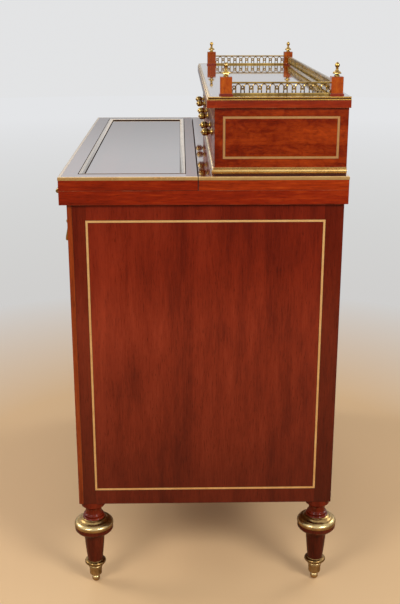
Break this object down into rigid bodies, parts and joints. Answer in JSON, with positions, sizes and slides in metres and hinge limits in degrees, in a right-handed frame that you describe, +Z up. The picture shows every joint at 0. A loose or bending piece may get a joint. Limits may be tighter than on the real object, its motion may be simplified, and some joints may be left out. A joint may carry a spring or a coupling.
{
  "type": "secretary chest",
  "caption": "Mahogany chest of drawers with a fold-out writing top, a raised drawer unit with a pierced brass gallery, and turned feet with brass rings.",
  "frame": {"origin": "on the floor, below the middle of the table top", "axes": "+X towards the right-hand end seen from the front, -Y towards the front, +Z up"},
  "size_m": [0.8198, 0.4916, 0.9553],
  "materials": {
    "mahogany": "French polished",
    "oak": "bare, planed",
    "brass": "polished, aged",
    "leather": "smooth, worn"
  },
  "bodies": {
    "chest": {"side_panels": "mahogany", "front_frame": "mahogany", "frieze_partitions": "mahogany", "table_top": "mahogany", "rear_top": "mahogany", "gradin_sides": "mahogany", "gradin_uprights": "mahogany", "gradin_cornice": "mahogany", "gallery_posts": "mahogany", "foot_turnings": "mahogany", "back_panel": "oak", "bottom_board": "oak", "drawer_runners": "oak", "gradin_back": "oak", "gradin_floor": "oak", "end_stringing": "brass", "rear_edge_brass": "brass", "foot_rings": "brass", "foot_sabots": "brass", "gradin_base_moulding": "brass", "gradin_cornice_brass": "brass", "gallery_finials": "brass", "gallery_rails": "brass", "hinge_table_leaves": "brass", "hinge_pins": "brass", "table_leather": "leather"},
    "frieze_left_drawer": {"frieze_left_front": "mahogany", "frieze_left_box": "oak", "frieze_left_brass": "brass"},
    "frieze_left_bail": {"frieze_left_bail": "brass"},
    "frieze_middle_drawer": {"frieze_middle_front": "mahogany", "frieze_middle_box": "oak", "frieze_middle_brass": "brass"},
    "frieze_middle_bail": {"frieze_middle_bail": "brass"},
    "frieze_right_drawer": {"frieze_right_front": "mahogany", "frieze_right_box": "oak", "frieze_right_brass": "brass"},
    "frieze_right_bail": {"frieze_right_bail": "brass"},
    "long_lower_drawer": {"long_lower_front": "mahogany", "long_lower_box": "oak", "long_lower_brass": "brass"},
    "long_lower_bail_left": {"long_lower_bail_left": "brass"},
    "long_lower_bail_right": {"long_lower_bail_right": "brass"},
    "long_upper_drawer": {"long_upper_front": "mahogany", "long_upper_box": "oak", "long_upper_brass": "brass"},
    "long_upper_bail_left": {"long_upper_bail_left": "brass"},
    "long_upper_bail_right": {"long_upper_bail_right": "brass"},
    "gradin_left_drawer": {"gradin_left_drawer": "mahogany", "gradin_left_brass": "brass"},
    "gradin_middle_drawer": {"gradin_middle_drawer": "mahogany", "gradin_middle_brass": "brass"},
    "gradin_right_drawer": {"gradin_right_drawer": "mahogany", "gradin_right_brass": "brass"},
    "flap": {"flap_board": "mahogany", "flap_panel": "mahogany", "flap_brass_frame": "brass", "flap_edge_brass": "brass", "flap_leather": "leather", "hinge_flap_leaves": "brass"}
  },
  "joints": [
    {"name": "frieze_left_drawer_slide", "type": "slide", "parent": "chest", "child": "frieze_left_drawer", "axis": [0, -1, 0], "range_m": [0, 0.3]},
    {"name": "frieze_left_bail_swing", "type": "hinge", "parent": "frieze_left_drawer", "child": "frieze_left_bail", "pos_m": [-0.25, -0.2355, 0.679], "axis": [-1, 0, 0], "range_deg": [0, 75]},
    {"name": "frieze_middle_drawer_slide", "type": "slide", "parent": "chest", "child": "frieze_middle_drawer", "axis": [0, -1, 0], "range_m": [0, 0.3]},
    {"name": "frieze_middle_bail_swing", "type": "hinge", "parent": "frieze_middle_drawer", "child": "frieze_middle_bail", "pos_m": [0, -0.2355, 0.679], "axis": [-1, 0, 0], "range_deg": [0, 75]},
    {"name": "frieze_right_drawer_slide", "type": "slide", "parent": "chest", "child": "frieze_right_drawer", "axis": [0, -1, 0], "range_m": [0, 0.3]},
    {"name": "frieze_right_bail_swing", "type": "hinge", "parent": "frieze_right_drawer", "child": "frieze_right_bail", "pos_m": [0.25, -0.2355, 0.679], "axis": [-1, 0, 0], "range_deg": [0, 75]},
    {"name": "long_lower_drawer_slide", "type": "slide", "parent": "chest", "child": "long_lower_drawer", "axis": [0, -1, 0], "range_m": [0, 0.3]},
    {"name": "long_lower_bail_left_swing", "type": "hinge", "parent": "long_lower_drawer", "child": "long_lower_bail_left", "pos_m": [-0.184, -0.2355, 0.3135], "axis": [-1, 0, 0], "range_deg": [0, 75]},
    {"name": "long_lower_bail_right_swing", "type": "hinge", "parent": "long_lower_drawer", "child": "long_lower_bail_right", "pos_m": [0.184, -0.2355, 0.3135], "axis": [-1, 0, 0], "range_deg": [0, 75]},
    {"name": "long_upper_drawer_slide", "type": "slide", "parent": "chest", "child": "long_upper_drawer", "axis": [0, -1, 0], "range_m": [0, 0.3]},
    {"name": "long_upper_bail_left_swing", "type": "hinge", "parent": "long_upper_drawer", "child": "long_upper_bail_left", "pos_m": [-0.184, -0.2355, 0.5295], "axis": [-1, 0, 0], "range_deg": [0, 75]},
    {"name": "long_upper_bail_right_swing", "type": "hinge", "parent": "long_upper_drawer", "child": "long_upper_bail_right", "pos_m": [0.184, -0.2355, 0.5295], "axis": [-1, 0, 0], "range_deg": [0, 75]},
    {"name": "gradin_left_drawer_slide", "type": "slide", "parent": "chest", "child": "gradin_left_drawer", "axis": [0, -1, 0], "range_m": [0, 0.14]},
    {"name": "gradin_middle_drawer_slide", "type": "slide", "parent": "chest", "child": "gradin_middle_drawer", "axis": [0, -1, 0], "range_m": [0, 0.14]},
    {"name": "gradin_right_drawer_slide", "type": "slide", "parent": "chest", "child": "gradin_right_drawer", "axis": [0, -1, 0], "range_m": [0, 0.14]},
    {"name": "flap_hinge", "type": "hinge", "parent": "chest", "child": "flap", "pos_m": [0, -0.2386, 0.7542], "axis": [1, 0, 0], "range_deg": [0, 180]}
  ]
}
